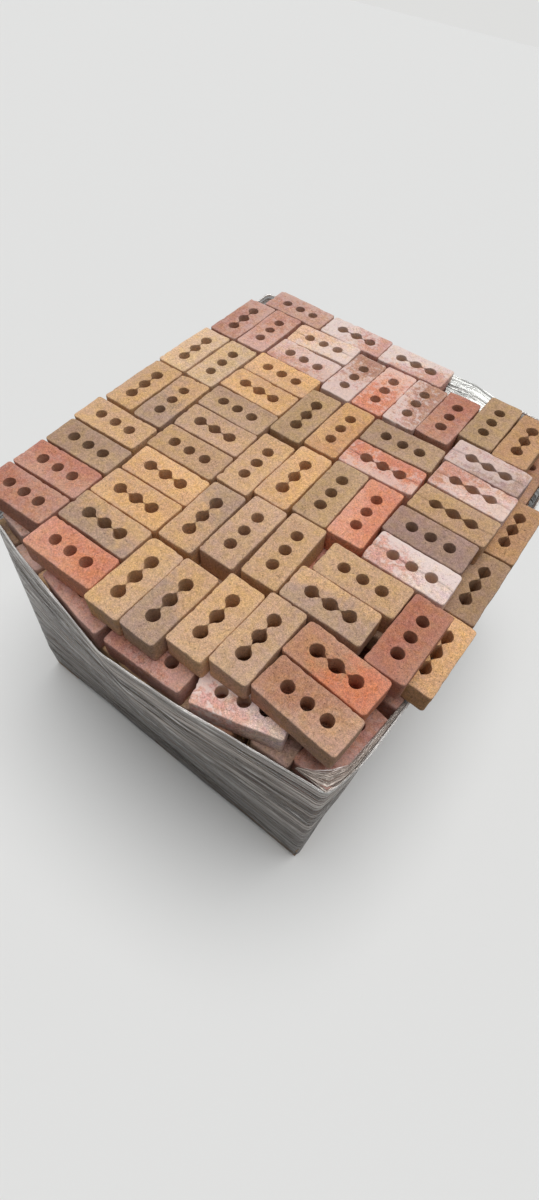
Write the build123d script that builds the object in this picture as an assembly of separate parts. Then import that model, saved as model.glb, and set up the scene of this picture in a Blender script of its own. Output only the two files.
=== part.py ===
from build123d import *
from math import cos, radians, sin
import os

os.makedirs("parts", exist_ok=True)

# All lengths are millimetres and all turns are degrees, anticlockwise seen from above.
# The origin is the centre of the pallet's underside, and +Y runs along its longer side.

# Extruded clay brick, cut by wire, with its cores standing upright
BRICK_WIDTH = 106.0
BOND_JOINT = 18.0
BRICK_LENGTH = 2 * BRICK_WIDTH + BOND_JOINT
BRICK_HEIGHT = 76.0
ARRIS_CHAMFER = 5.0
CORE_COUNT = 3
CORE_DIAMETER = 33.0
CORE_PITCH = 54.0
CORE_SIDES = 10
FLARE_REACH = 24.0
FLARE_ANGLE = 45.0

# Timber pallet: deck and base boards along Y, bearers along X with a fork pocket between them
PALLET_WIDTH = 1180.0
PALLET_LENGTH = 1320.0
BASE_BOARD_THICKNESS = 22.0
BASE_BOARD_WIDTH = 120.0
BASE_BOARD_COUNT = 3
BEARER_HEIGHT = 100.0
BEARER_WIDTH = 90.0
BEARER_COUNT = 3
DECK_BOARD_THICKNESS = 22.0
DECK_BOARD_WIDTH = 115.0
DECK_BOARD_COUNT = 8

# Hidden courses, plain blocks with the brick joints cut into their sides
LOWER_COURSE_COUNT = 9
LOWER_COURSE_INSET = 6.0
LOWER_COURSE_STAGGER = 5.0
HALF_BOND = 0.5
JOINT_WIDTH = 8.0
GROOVE_TURN = 45.0

# Stretch wrap round the load
WRAP_THICKNESS = 3.0
WRAP_CLEARANCE = 0.3
WRAP_FOOT = 45.0
WRAP_FAR_DROP = 40.0
WRAP_NEAR_DROP = 100.0
WRAP_CORNER_DROP = 156.0
WRAP_FAR_START = 560.0
WRAP_SLOPE_START = 200.0
WRAP_SLOPE_END = 560.0
WRAP_SIDE_START = 500.0
WRAP_SIDE_END = 375.0

# Clear gaps between the ranks of the top course, and how far some stand out of line
LEFT_EDGE = -575.0
LEFT_NEAR_EDGE = -598.0
LEFT_GAPS = (10.0, 5.0, 7.0, 4.0)
LEFT_PAIR_SHIFTS = (-8.0, -11.0, 0.0, 51.0)
SPINE_GAP = 3.0
SPINE_NEAR_EDGE = -653.0
HEART_GAP = 8.0
HEART_NEAR_END = -672.0
HEART_GAPS = (13.0, 7.0, 22.0, 16.0)
HEART_SHIFTS = (0.0, 0.0, -12.0, -21.0, -9.5)
HEART_END_GAP = 17.0
HEART_END_SHIFT = 49.0
CROSS_PAIR_GAPS = (6.0, 47.0)
RIGHT_LANE_GAP = 7.5
RIGHT_NEAR_EDGE = -618.0
RIGHT_CROSS_GAPS = (7.0, 17.0)
RIGHT_EDGE_GAPS = (25.0, -3.0)
RIGHT_GAP = 8.0
RIGHT_SHIFT = -4.0
RIGHT_FAR_GAPS = (5.0, 14.0)

DECK_TOP = BASE_BOARD_THICKNESS + BEARER_HEIGHT + DECK_BOARD_THICKNESS
SECOND_COURSE_BASE = DECK_TOP + LOWER_COURSE_COUNT * BRICK_HEIGHT
TOP_COURSE_BASE = SECOND_COURSE_BASE + BRICK_HEIGHT
LOAD_TOP = TOP_COURSE_BASE + BRICK_HEIGHT
RIM_TOP = LOAD_TOP - WRAP_FAR_DROP

# Kinds of core: round, faceted plain, and beaded, dragged to points towards the next core
ROUND, PLAIN, BEADED = "round", "plain", "beaded"


def write_node(name, solids):
    """Write one node as a STEP file named after it."""
    export_step(Compound(children=list(solids)), f"parts/{name}.step")


def core_outline(flares):
    """A core's outline with few sides: a circle, with a pointed flare at each angle in flares."""
    radius = CORE_DIAMETER / 2
    points = []
    for side in range(CORE_SIDES):
        angle = 360 * (side + 0.5) / CORE_SIDES
        off_flare = [abs((angle - flare + 180) % 360 - 180) for flare in flares]
        if all(gap >= FLARE_ANGLE for gap in off_flare):
            points.append((angle, radius))
    points += [(flare, FLARE_REACH) for flare in flares]
    points.sort()
    corners = [(reach * cos(radians(angle)), reach * sin(radians(angle))) for angle, reach in points]
    return make_face(Polyline(*corners, close=True))


def core(index, kind):
    """The outline of one core; a beaded one is flared towards each neighbour that it has."""
    if kind == ROUND:
        return Circle(CORE_DIAMETER / 2)
    flares = []
    if kind == BEADED:
        flares += [0.0] if index < CORE_COUNT - 1 else []
        flares += [180.0] if index > 0 else []
    return core_outline(flares)


def make_brick(kind):
    """A brick with chamfered upright arrises and a row of cores of one kind."""
    plan = Rectangle(BRICK_LENGTH, BRICK_WIDTH)
    plan = chamfer(plan.vertices(), ARRIS_CHAMFER)
    for index in range(CORE_COUNT):
        middle = (index - (CORE_COUNT - 1) / 2) * CORE_PITCH
        plan -= Pos(middle, 0) * core(index, kind)
    return extrude(plan, BRICK_HEIGHT)


BRICKS = {kind: make_brick(kind) for kind in (ROUND, PLAIN, BEADED)}


def lay_brick(x, y, turn, base, kind):
    """One brick whose middle stands over x, y."""
    return Pos(x, y, base) * Rot(0, 0, turn) * BRICKS[kind]


def depth(rank):
    """How deep a rank of bricks is, from the outer side of its first to that of its last."""
    return sum(BRICK_WIDTH + gap for gap, slip, turn, kind in rank)


def lay_across(middle_x, near_y, rank):
    """A rank of bricks that lie along X, side by side from near_y towards +Y.

    Each brick of a rank is (gap to the one before it, slip along its length, turn, kind).
    """
    laid = []
    for gap, slip, turn, kind in rank:
        middle_y = near_y + gap + BRICK_WIDTH / 2
        laid.append(lay_brick(middle_x + slip, middle_y, turn, TOP_COURSE_BASE, kind))
        near_y = middle_y + BRICK_WIDTH / 2
    return laid


def lay_along(left_x, middle_y, rank):
    """A rank of bricks that lie along Y, side by side from left_x towards +X."""
    laid = []
    for gap, slip, turn, kind in rank:
        middle_x = left_x + gap + BRICK_WIDTH / 2
        laid.append(lay_brick(middle_x, middle_y + slip, 90 + turn, TOP_COURSE_BASE, kind))
        left_x = middle_x + BRICK_WIDTH / 2
    return laid


# Top course: ranks of bricks set down by hand, each with its own gap, slip, turn and cores
NEAR_LEFT_RANK = [(0, 1, 1.6, PLAIN), (6, 0, 1.7, PLAIN), (6, -1, 1.7, PLAIN), (7, -14, 1.3, PLAIN)]
LEFT_PAIRS = [
    [(0, 0, 0.5, BEADED), (7, -1, 1.6, PLAIN)],
    [(0, 0, 0.0, BEADED), (7, -1, -0.4, PLAIN)],
    [(0, 0, 0.2, BEADED), (4, 2, 0.6, ROUND)],
]
LEFT_END_RANK = [(0, 0, -0.5, PLAIN)]
SPINE_RANK = [
    (0, 3, 0.4, ROUND), (6, 2, 0.2, BEADED), (3, 3, 0.9, BEADED), (4, 4, 0.8, BEADED),
    (4, -7, 0.9, PLAIN), (6, -10, 1.2, BEADED), (3.5, -16, -0.1, PLAIN), (2.6, -19, -1.1, BEADED),
    (3, -14, -0.2, PLAIN), (2.2, -6, -1.0, PLAIN), (7, -5, 1.9, PLAIN), (4, 54, 0.3, BEADED),
]
HEART_RANKS = [
    [(0, 0, -0.6, BEADED), (2, 3, -0.4, BEADED), (5, 36, -1.0, BEADED), (2.5, 55, -0.9, BEADED)],
    [(0, 0, 1.3, BEADED), (6, 28, 0.0, PLAIN), (10, 44, 1.6, PLAIN)],
    [(0, 0, 0.8, PLAIN), (4, 25, 0.5, BEADED), (6, 41, 1.2, PLAIN), (4, 42, 1.6, PLAIN)],
    [(0, 0, 0.4, BEADED), (6.5, 14, 0.7, PLAIN)],
    [(0, 0, -0.9, PLAIN), (2.2, 6, -0.1, PLAIN), (2, 12, -0.8, PLAIN), (1.6, 25, -0.3, ROUND)],
]
HEART_END_RANK = [(0, 0, 0.7, BEADED)]
CROSS_PAIR = [(0, 0, 1.5, BEADED), (7, 0, 2.1, PLAIN)]
RIGHT_NEAR_PAIR = [(0, 0, -5.0, PLAIN), (5, 0, -4.9, BEADED)]
RIGHT_CROSS_PAIR = [(0, 0, -0.5, BEADED), (2, 23, -0.2, PLAIN)]
RIGHT_EDGE_RANK = [(0, 0, -1.8, PLAIN)]
RIGHT_RANK = [
    (0, 1, -0.7, BEADED), (4, -7, -0.5, ROUND), (4, 2, -1.1, BEADED),
    (5, 4, -1.1, BEADED), (3.5, -1, -1.5, BEADED),
]
RIGHT_FAR_PAIR = [(0, 0, -1.2, PLAIN), (5, -13, -1.4, BEADED)]

# Left lane: crossing bricks at the near end, then three pairs and one more crossing brick
left_middle = LEFT_EDGE + BRICK_LENGTH / 2
top_course = lay_across(left_middle, LEFT_NEAR_EDGE, NEAR_LEFT_RANK)
lane_end = LEFT_NEAR_EDGE + depth(NEAR_LEFT_RANK)
for pair, gap, shift in zip(LEFT_PAIRS, LEFT_GAPS, LEFT_PAIR_SHIFTS):
    top_course += lay_along(LEFT_EDGE + shift, lane_end + gap + BRICK_LENGTH / 2, pair)
    lane_end += gap + BRICK_LENGTH
top_course += lay_across(left_middle + LEFT_PAIR_SHIFTS[-1], lane_end + LEFT_GAPS[-1], LEFT_END_RANK)

# Spine: one long rank of crossing bricks
spine_middle = left_middle + BRICK_LENGTH + SPINE_GAP
top_course += lay_across(spine_middle, SPINE_NEAR_EDGE, SPINE_RANK)

# Heart: ranks along Y one behind the other, with a crossing pair and a crossing brick
heart_left = spine_middle + BRICK_LENGTH / 2 + HEART_GAP
heart_middles = [HEART_NEAR_END + BRICK_LENGTH / 2]
for gap in HEART_GAPS:
    heart_middles.append(heart_middles[-1] + BRICK_LENGTH + gap)
for rank, middle, shift in zip(HEART_RANKS, heart_middles, HEART_SHIFTS):
    top_course += lay_along(heart_left + shift, middle, rank)
heart_end = heart_middles[-1] + BRICK_LENGTH / 2 + HEART_END_GAP
top_course += lay_across(heart_left + HEART_END_SHIFT + BRICK_LENGTH / 2, heart_end, HEART_END_RANK)
cross_left = heart_left + HEART_SHIFTS[3] + depth(HEART_RANKS[3]) + CROSS_PAIR_GAPS[0]
cross_near = heart_middles[2] + BRICK_LENGTH / 2 + CROSS_PAIR_GAPS[1]
top_course += lay_across(cross_left + BRICK_LENGTH / 2, cross_near, CROSS_PAIR)

# Right lane: turned pair at the near corner, crossing pair, edge brick, long rank, far pair
right_middle = heart_left + depth(HEART_RANKS[0]) + RIGHT_LANE_GAP + BRICK_LENGTH / 2
top_course += lay_across(right_middle, RIGHT_NEAR_EDGE, RIGHT_NEAR_PAIR)
corner_far = RIGHT_NEAR_EDGE + depth(RIGHT_NEAR_PAIR)
right_cross = heart_left + depth(HEART_RANKS[1]) + RIGHT_CROSS_GAPS[0] + BRICK_LENGTH / 2
top_course += lay_across(right_cross, corner_far + RIGHT_CROSS_GAPS[1], RIGHT_CROSS_PAIR)
edge_left = right_cross + BRICK_LENGTH / 2 + RIGHT_EDGE_GAPS[0]
edge_middle = corner_far + RIGHT_EDGE_GAPS[1] + BRICK_LENGTH / 2
top_course += lay_along(edge_left, edge_middle, RIGHT_EDGE_RANK)
right_near = edge_middle + BRICK_LENGTH / 2 + RIGHT_GAP
top_course += lay_across(right_middle + RIGHT_SHIFT, right_near, RIGHT_RANK)
far_left = heart_left + HEART_SHIFTS[4] + depth(HEART_RANKS[4]) + RIGHT_FAR_GAPS[0]
far_middle = right_near + depth(RIGHT_RANK) + RIGHT_FAR_GAPS[1] + BRICK_LENGTH / 2
top_course += lay_along(far_left, far_middle, RIGHT_FAR_PAIR)


def has_round_cores(brick):
    """Whether a laid brick is one of those with true round cores."""
    return any(face.geom_type == GeomType.CYLINDER for face in brick.faces())


write_node("top_course_corner_bricks", [brick for brick in top_course if has_round_cores(brick)])
write_node("top_course_bricks", [brick for brick in top_course if not has_round_cores(brick)])

# Second course: the bricks that show along its near and right edges, round a plain core.
# Along the near edge each brick is (gap, Y of its outer left corner, turn, kind).
NEAR_ROW_LEFT = -282.0
NEAR_ROW = [(0, -670, -9.8, PLAIN), (25, -705, 2.0, PLAIN), (29, -698, 15.0, PLAIN)]
# The two at the left end stand with their ends outwards: (gap, Y of the left corner, turn, kind)
END_ROW_LEFT = -516.0
END_ROW = [(0, -604, -9.0, PLAIN), (10, -592, -9.0, PLAIN)]
# Along the right edge each brick is (gap, X of its outer side, turn, kind), from the near end
SIDE_ROW_NEAR = -352.0
SIDE_ROW = [(0, 661, -1.2, BEADED), (6, 649, -0.4, BEADED), (8, 648, 0.6, BEADED)]
CORE_CLEARANCE = 12.0
CORE_NEAR_EDGE = -485.0
CORE_NOTCH = (-225.0, -350.0)
CORE_INSET = 10.0


def corner_laid(x, y, turn, across, along, kind):
    """A second-course brick whose outer left corner stands over x, y, turned about that corner."""
    middle = Vector(across / 2, along / 2).rotate(Axis.Z, turn)
    lie = turn if across > along else 90 + turn
    return lay_brick(x + middle.X, y + middle.Y, lie, SECOND_COURSE_BASE, kind)


edge_bricks = []
x = NEAR_ROW_LEFT
for gap, y, turn, kind in NEAR_ROW:
    x += gap
    edge_bricks.append(corner_laid(x, y, turn, BRICK_LENGTH, BRICK_WIDTH, kind))
    x += BRICK_LENGTH * cos(radians(turn))
x = END_ROW_LEFT
for gap, y, turn, kind in END_ROW:
    x += gap
    edge_bricks.append(corner_laid(x, y, turn, BRICK_WIDTH, BRICK_LENGTH, kind))
    x += BRICK_WIDTH * cos(radians(turn))
y = SIDE_ROW_NEAR
for gap, outer_x, turn, kind in SIDE_ROW:
    middle_y = y + gap + BRICK_LENGTH / 2
    edge_bricks.append(
        lay_brick(outer_x - BRICK_WIDTH / 2, middle_y, 90 + turn, SECOND_COURSE_BASE, kind)
    )
    y = middle_y + BRICK_LENGTH / 2
write_node("second_course_edge_bricks", edge_bricks)

core_left = CORE_INSET - PALLET_WIDTH / 2
core_right = min(outer_x for gap, outer_x, turn, kind in SIDE_ROW) - BRICK_WIDTH - CORE_CLEARANCE
core_far = PALLET_LENGTH / 2 - CORE_INSET
notch_right, notch_far = CORE_NOTCH
second_course = Polyline(
    (core_left, notch_far), (notch_right, notch_far), (notch_right, CORE_NEAR_EDGE),
    (core_right, CORE_NEAR_EDGE), (core_right, core_far), (core_left, core_far), close=True,
)
write_node(
    "second_course_core",
    [Pos(0, 0, SECOND_COURSE_BASE) * extrude(make_face(second_course), BRICK_HEIGHT)],
)

# The load's outline at the wrap's upper rim: each point's place on the pallet's edge, as
# shares of the half width and half length, and how far the bulge moves it in X and Y
RIM_OUTLINE = [
    (-1.0, -1.0, 0, 66),
    (-0.67, -1.0, 0, 11),
    (-0.04, -1.0, 0, -68),
    (0.35, -1.0, 0, -52),
    (1.0, -1.0, -12, 18),
    (1.0, -0.85, 17, 0),
    (1.0, -0.55, 30, 0),
    (1.0, 0.25, 30, 0),
    (1.0, 1.0, 6, 12),
    (-1.0, 1.0, 0, 14),
]


def load_outline(height, grow):
    """The load's plan at a height: straight at the deck and bulged at the rim, grown by grow."""
    rise = (height - DECK_TOP) / (RIM_TOP - DECK_TOP)
    points = [
        (share_x * PALLET_WIDTH / 2 + rise * move_x, share_y * PALLET_LENGTH / 2 + rise * move_y)
        for share_x, share_y, move_x, move_y in RIM_OUTLINE
    ]
    return offset(make_face(Polyline(*points, close=True)), amount=grow, kind=Kind.INTERSECTION)


def joint_cuts(level, base):
    """Upright V grooves in a course's four sides, a brick apart, half a brick on in odd courses."""
    pitch_x = PALLET_WIDTH / round(PALLET_WIDTH / (BRICK_LENGTH + JOINT_WIDTH))
    pitch_y = PALLET_LENGTH / round(PALLET_LENGTH / (BRICK_LENGTH + JOINT_WIDTH))
    groove = Rot(0, 0, GROOVE_TURN) * Box(
        JOINT_WIDTH, JOINT_WIDTH, BRICK_HEIGHT, align=(Align.CENTER, Align.CENTER, Align.MIN)
    )
    outline = load_outline(base, -course_inset(level)).face().outer_wire()
    bond = HALF_BOND * (level % 2)
    cuts = []
    for pitch, span, direction in ((pitch_x, PALLET_WIDTH, Axis.X), (pitch_y, PALLET_LENGTH, Axis.Y)):
        for index in range(1, round(span / pitch)):
            place = (index + bond) * pitch - span / 2
            if abs(place) > span / 2 - BRICK_WIDTH:
                continue
            for side in side_points(outline, direction, place):
                cuts.append(Pos(side.X, side.Y, base) * groove)
    return cuts


def side_points(outline, direction, place):
    """Where a line across the load, square to a direction at a place on it, meets the outline."""
    reach = PALLET_WIDTH + PALLET_LENGTH
    if direction == Axis.X:
        line = Edge.make_line((place, -reach), (place, reach))
    else:
        line = Edge.make_line((-reach, place), (reach, place))
    return [point for edge in outline.edges() for point in edge.find_intersection_points(line)]


def course_inset(level):
    """How far a hidden course stands inside the wrap; every other one stands further in."""
    return LOWER_COURSE_INSET + LOWER_COURSE_STAGGER * (level % 2)


def lower_course(level):
    """One hidden course as a block with the joints between its bricks cut into its sides."""
    base = DECK_TOP + level * BRICK_HEIGHT
    plan = load_outline(base, -course_inset(level))
    block = Pos(0, 0, base) * extrude(plan, BRICK_HEIGHT)
    return block - joint_cuts(level, base)


for level in range(LOWER_COURSE_COUNT):
    write_node(f"lower_course_{level + 1}", lower_course(level).solids())


def timber(size_x, size_y, thickness, base):
    """A sawn board or bearer that lies flat on the height base."""
    return Pos(0, 0, base) * Box(
        size_x, size_y, thickness, align=(Align.CENTER, Align.CENTER, Align.MIN)
    )


def boards(count, width, thickness, base):
    """Boards along the pallet's length, spread over its width with the outer ones flush."""
    pitch = (PALLET_WIDTH - width) / (count - 1)
    board = timber(width, PALLET_LENGTH, thickness, base)
    return [place * board for place in GridLocations(pitch, 0, count, 1)]


bearer = timber(PALLET_WIDTH, BEARER_WIDTH, BEARER_HEIGHT, BASE_BOARD_THICKNESS)
bearer_pitch = (PALLET_LENGTH - BEARER_WIDTH) / (BEARER_COUNT - 1)
write_node("pallet_bearers", [place * bearer for place in GridLocations(0, bearer_pitch, 1, BEARER_COUNT)])
write_node("pallet_base_boards", boards(BASE_BOARD_COUNT, BASE_BOARD_WIDTH, BASE_BOARD_THICKNESS, 0))
deck_base = DECK_TOP - DECK_BOARD_THICKNESS
write_node("pallet_deck_boards", boards(DECK_BOARD_COUNT, DECK_BOARD_WIDTH, DECK_BOARD_THICKNESS, deck_base))


def wrap_body(grow):
    """The closed body inside one face of the wrap: a straight foot and a bulged wall above."""
    deck_outline = load_outline(DECK_TOP, grow)
    foot = Pos(0, 0, WRAP_FOOT) * extrude(deck_outline, DECK_TOP - WRAP_FOOT)
    rim_outline = Pos(0, 0, RIM_TOP) * load_outline(RIM_TOP, grow)
    return foot + loft([Pos(0, 0, DECK_TOP) * deck_outline, rim_outline], ruled=True)


def rim_cut(x_from, x_to, y_to, drop_from, drop_to):
    """A block above the rim from x_from to x_to, nearer than y_to, with a sloping underside."""
    top = LOAD_TOP + BRICK_HEIGHT
    side = Polyline(
        (x_from, LOAD_TOP - drop_from), (x_to, LOAD_TOP - drop_to), (x_to, top), (x_from, top), close=True
    )
    return Pos(0, y_to, 0) * extrude(Plane.XZ * make_face(side), 2 * PALLET_LENGTH)


wrap = wrap_body(WRAP_CLEARANCE + WRAP_THICKNESS) - wrap_body(WRAP_CLEARANCE)
wrap -= rim_cut(-PALLET_LENGTH, WRAP_SLOPE_START, WRAP_FAR_START, WRAP_NEAR_DROP, WRAP_NEAR_DROP)
wrap -= rim_cut(WRAP_SLOPE_START, WRAP_SLOPE_END, 0, WRAP_NEAR_DROP, WRAP_CORNER_DROP)
wrap -= rim_cut(WRAP_SIDE_START, PALLET_LENGTH, WRAP_SIDE_END, WRAP_CORNER_DROP, WRAP_CORNER_DROP)
wrap -= rim_cut(WRAP_SIDE_START, PALLET_LENGTH, WRAP_FAR_START, WRAP_NEAR_DROP, WRAP_NEAR_DROP)

# Open the wrap's foot at both ends of the fork pockets
pocket_mouths = timber(
    2 * PALLET_WIDTH, PALLET_LENGTH - 2 * BEARER_WIDTH, DECK_TOP - DECK_BOARD_THICKNESS, 0
)
wrap -= pocket_mouths
write_node("stretch_wrap", wrap.solids())
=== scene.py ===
from math import pi, radians

import bpy
import numpy as np
from mathutils import Matrix, Vector


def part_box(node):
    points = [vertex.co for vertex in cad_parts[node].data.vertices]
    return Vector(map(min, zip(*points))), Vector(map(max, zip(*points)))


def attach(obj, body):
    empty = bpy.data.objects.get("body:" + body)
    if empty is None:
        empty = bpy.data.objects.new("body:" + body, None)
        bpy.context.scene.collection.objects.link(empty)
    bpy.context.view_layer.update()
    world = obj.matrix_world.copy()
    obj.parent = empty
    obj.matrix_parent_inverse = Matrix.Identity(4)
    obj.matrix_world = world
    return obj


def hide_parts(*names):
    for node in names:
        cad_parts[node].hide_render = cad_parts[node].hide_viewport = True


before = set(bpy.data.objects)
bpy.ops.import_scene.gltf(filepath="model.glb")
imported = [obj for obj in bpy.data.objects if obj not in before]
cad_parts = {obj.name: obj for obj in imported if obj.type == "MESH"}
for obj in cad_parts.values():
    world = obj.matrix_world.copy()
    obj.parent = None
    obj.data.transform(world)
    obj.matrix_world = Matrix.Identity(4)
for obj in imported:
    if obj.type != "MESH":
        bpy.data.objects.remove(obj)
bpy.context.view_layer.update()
scene = bpy.context.scene

# Sizes in metres, in the frame of the CAD model: the origin is under the middle of the pallet
BRICK_LENGTH, BRICK_WIDTH, BRICK_HEIGHT = BRICK_SIZE = 0.230, 0.106, 0.076
CORE_RADIUS, CORE_PITCH = 0.0165, 0.054
CELL_HALF = CORE_PITCH / 2
PLAN_CORNER, ARRIS, CORE_LIP = 0.0090, 0.0034, 0.0018
COURSE_JOINT = 0.007
PALLET_WIDTH, PALLET_LENGTH = 1.180, 1.320
DECK_TOP = 0.144
LOWER_COURSES = 9


# Materials

def linear(red, green, blue):
    """A colour given in 0 to 255 steps, as a shader takes it."""
    share = np.array([red, green, blue]) / 255
    curve = np.where(share <= 0.04045, share / 12.92, ((share + 0.055) / 1.055) ** 2.4)
    return (*curve.tolist(), 1.0)


class ShaderTree:
    """A node tree, with short calls for the nodes that the finishes and the sky share."""

    def __init__(self, tree):
        self.nodes, self.links = tree.nodes, tree.links

    def set(self, socket, value):
        """Give a socket a link or a value."""
        if isinstance(value, bpy.types.NodeSocket):
            self.links.new(value, socket)
        else:
            socket.default_value = value

    def math(self, kind, first, second):
        """One sum, product or the like of two values."""
        node = self.nodes.new("ShaderNodeMath")
        node.operation = kind
        self.set(node.inputs[0], first)
        self.set(node.inputs[1], second)
        return node.outputs["Value"]

    def mix(self, share, first, second, kind="MIX"):
        """The first colour turned by a share to the second."""
        node = self.nodes.new("ShaderNodeMix")
        node.data_type = "RGBA"
        node.blend_type = kind
        self.set(node.inputs["Factor"], share)
        inputs = [socket for socket in node.inputs if socket.type == "RGBA"]
        for socket, colour in zip(inputs, (first, second), strict=True):
            self.set(socket, colour)
        return next(socket for socket in node.outputs if socket.type == "RGBA")

    def shown_to_looks(self, shown, unseen):
        """A colour that looks, reflections and looks through film meet, and another for scattered light."""
        path = self.nodes.new("ShaderNodeLightPath").outputs
        looked_at = self.math("MAXIMUM", path["Is Camera Ray"], path["Is Glossy Ray"])
        return self.mix(self.math("MAXIMUM", looked_at, path["Is Transmission Ray"]), unseen, shown)


class Finish(ShaderTree):
    """A material's node tree, with short calls for its patterns and its shader's inputs."""

    def __init__(self, name):
        self.material = bpy.data.materials.new(name)
        self.material.use_nodes = True
        super().__init__(self.material.node_tree)
        self.shader = self.nodes["Principled BSDF"]
        self.place = self.nodes.new("ShaderNodeTexCoord").outputs["Object"]

    def give(self, name, value):
        """Give the shader's named input a link or a value."""
        self.set(self.shader.inputs[name], value)

    def stretched(self, place, scale):
        """The place, with each axis scaled."""
        node = self.nodes.new("ShaderNodeMapping")
        self.set(node.inputs["Vector"], place)
        node.inputs["Scale"].default_value = scale
        return node.outputs["Vector"]

    def noise(self, scale, detail=3.0, rough=0.5, place=None, warp=0.0):
        """Soft noise, mostly from 0.3 to 0.7 about a middle of 0.5."""
        node = self.nodes.new("ShaderNodeTexNoise")
        self.set(node.inputs["Vector"], self.place if place is None else place)
        node.inputs["Scale"].default_value = scale
        node.inputs["Detail"].default_value = detail
        node.inputs["Roughness"].default_value = rough
        node.inputs["Distortion"].default_value = warp
        return node.outputs["Fac"]

    def ramp(self, value, low, high, out_low=0.0, out_high=1.0, smooth=True):
        """The value mapped from low..high to out_low..out_high, held at both ends."""
        node = self.nodes.new("ShaderNodeMapRange")
        node.interpolation_type = "SMOOTHSTEP" if smooth else "LINEAR"
        self.set(node.inputs["Value"], value)
        limits = {"From Min": low, "From Max": high, "To Min": out_low, "To Max": out_high}
        for name, number in limits.items():
            self.set(node.inputs[name], number)
        return node.outputs["Result"]

    def times(self, colour, factor):
        """The colour multiplied by a value or by another colour."""
        return self.mix(1.0, colour, factor, kind="MULTIPLY")

    def attribute(self, name):
        """The red, green and blue of a mesh's colour attribute."""
        node = self.nodes.new("ShaderNodeAttribute")
        node.attribute_name = name
        split = self.nodes.new("ShaderNodeSeparateColor")
        self.links.new(node.outputs["Color"], split.inputs["Color"])
        return split.outputs["Red"], split.outputs["Green"], split.outputs["Blue"]

    def bump(self, height, strength, distance):
        """A surface normal tilted by a height."""
        node = self.nodes.new("ShaderNodeBump")
        self.set(node.inputs["Height"], height)
        node.inputs["Strength"].default_value = strength
        node.inputs["Distance"].default_value = distance
        return node.outputs["Normal"]


BLOOM_WHITE = linear(240, 222, 215)
# A pale colour for the cores' walls: partly dust, partly painted light that lifts the shade inside the cores
CORE_DUST_AND_PAINTED_LIGHT = linear(236, 206, 178)
YELLOW_SAND, PINK_SAND = (1.04, 1.02, 0.88, 1.0), (0.99, 0.96, 1.03, 1.0)
# The clay's patterns, from broad to fine, in features a metre
ZONE_BORDER, SMEAR, MOTTLE, SMEAR_EDGE, CLUMP, PIT, GRAIN = 15.0, 20.0, 34.0, 75.0, 135.0, 190.0, 400.0


def fired_clay(name, body, flash, bloom):
    """Sandy fired clay: two body colours in zones, yellow and pink mottle, grains, pits darkened by painted
    shade, a pale bloom, pale core dust that is partly painted light, and painted shade in creases.
    """
    f = Finish(name)
    tone, dust_and_light_down_core, near_edge = f.attribute("wear_and_painted_light")
    zone, bloom_side, painted_crease_shade = f.attribute("marks")
    border = f.noise(ZONE_BORDER, 4.0, 0.65, warp=0.6)
    colour = f.mix(f.ramp(f.math("ADD", zone, border), 0.84, 1.16), linear(*body), linear(*flash))
    mottle = f.noise(MOTTLE, 4.0, 0.6)
    colour = f.times(colour, f.mix(f.ramp(mottle, 0.34, 0.66), YELLOW_SAND, PINK_SAND))
    clumps = f.noise(CLUMP, 3.0, 0.7)
    colour = f.times(colour, f.ramp(clumps, 0.32, 0.68, 0.78, 1.22, smooth=False))
    grains = f.noise(GRAIN, 2.0, 0.6)
    colour = f.times(colour, f.ramp(grains, 0.32, 0.68, 0.68, 1.32, smooth=False))
    shaded_pits = f.ramp(f.noise(PIT, 1.0, 0.5), 0.33, 0.26)
    # Painted shade: the colour darkened in the pits
    colour = f.times(colour, f.ramp(shaded_pits, 0.0, 1.0, 1.0, 0.55))
    smear = f.math("ADD", f.noise(SMEAR, 5.0, 0.7, warp=0.9), f.math("MULTIPLY", bloom_side, 0.30))
    smear_edge = f.noise(SMEAR_EDGE, 3.0, 0.65, warp=0.5)
    smear = f.math("ADD", smear, f.ramp(smear_edge, 0.3, 0.7, -0.16, 0.16))
    pale = f.math("MULTIPLY", f.ramp(smear, 0.54, 0.80), 1.1 * bloom)
    pale = f.math("ADD", pale, f.math("MULTIPLY", near_edge, 0.08 + 0.4 * bloom))
    colour = f.mix(f.math("MINIMUM", pale, 0.92), colour, BLOOM_WHITE)
    # Paler down the cores' walls: partly dust, partly painted light lifting the shade in the cores
    colour = f.mix(f.math("MULTIPLY", dust_and_light_down_core, min(0.25 + 1.2 * bloom, 0.9)), colour, CORE_DUST_AND_PAINTED_LIGHT)
    # Painted shade: darker in the crease along the brick and along the thin line between its cores
    colour = f.times(colour, f.ramp(painted_crease_shade, 0.0, 1.0, 1.0, 0.38, smooth=False))
    colour = f.times(colour, f.ramp(tone, -1.0, 1.0, 0.94, 1.06, smooth=False))
    f.give("Base Color", colour)
    f.give("Roughness", 0.92)
    f.give("Specular IOR Level", 0.2)
    height = f.math("ADD", f.math("MULTIPLY", grains, 0.35), f.math("MULTIPLY", clumps, 0.8))
    height = f.math("SUBTRACT", height, f.math("MULTIPLY", shaded_pits, 0.5))
    f.give("Normal", f.bump(height, 0.7, 0.0014))
    return f.material


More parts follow.
